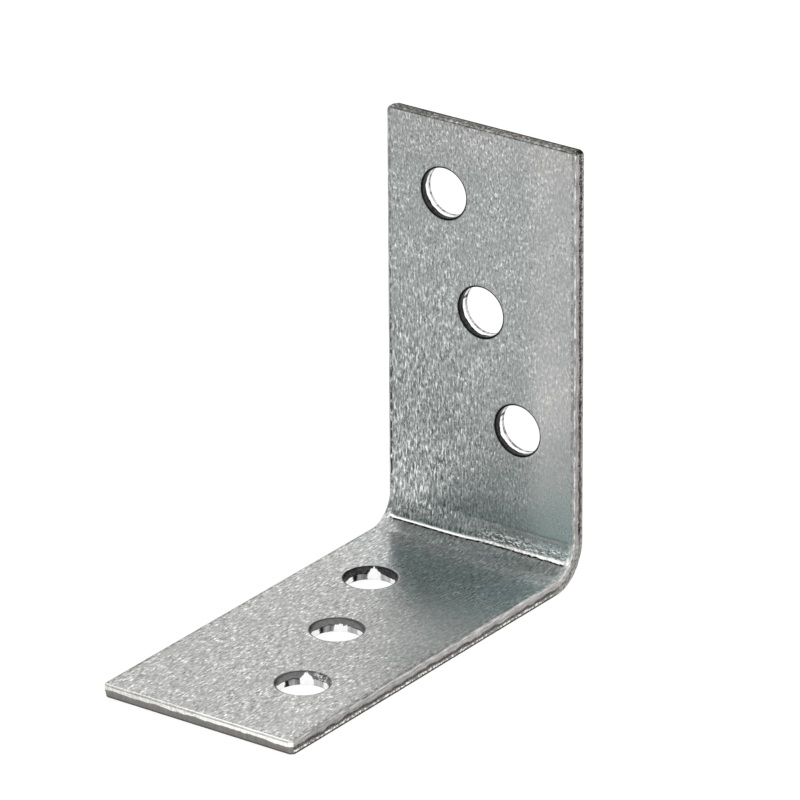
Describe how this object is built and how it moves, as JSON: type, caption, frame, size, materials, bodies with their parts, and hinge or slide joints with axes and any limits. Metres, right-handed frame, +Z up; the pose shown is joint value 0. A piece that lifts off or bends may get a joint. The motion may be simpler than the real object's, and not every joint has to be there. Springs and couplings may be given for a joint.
{
  "type": "angle bracket",
  "caption": "L-shaped angle bracket bent from one strip of galvanised steel, with a slanting row of round punched screw holes in each leg.",
  "frame": {"origin": "centre of the bounding box, on the underside of the flat leg", "axes": "+X across the strip, to the right as seen from the open front; +Y from the flat leg's free end to the back face; +Z up along the upright leg"},
  "size_m": [0.0196, 0.0418, 0.0396],
  "materials": {
    "galvanised_steel": "hot-dip galvanised sheet, fine bright grain along the strip, sheared edges part burnished and part torn"
  },
  "bodies": {
    "root": {"angle_bracket": "galvanised_steel"}
  },
  "joints": []
}
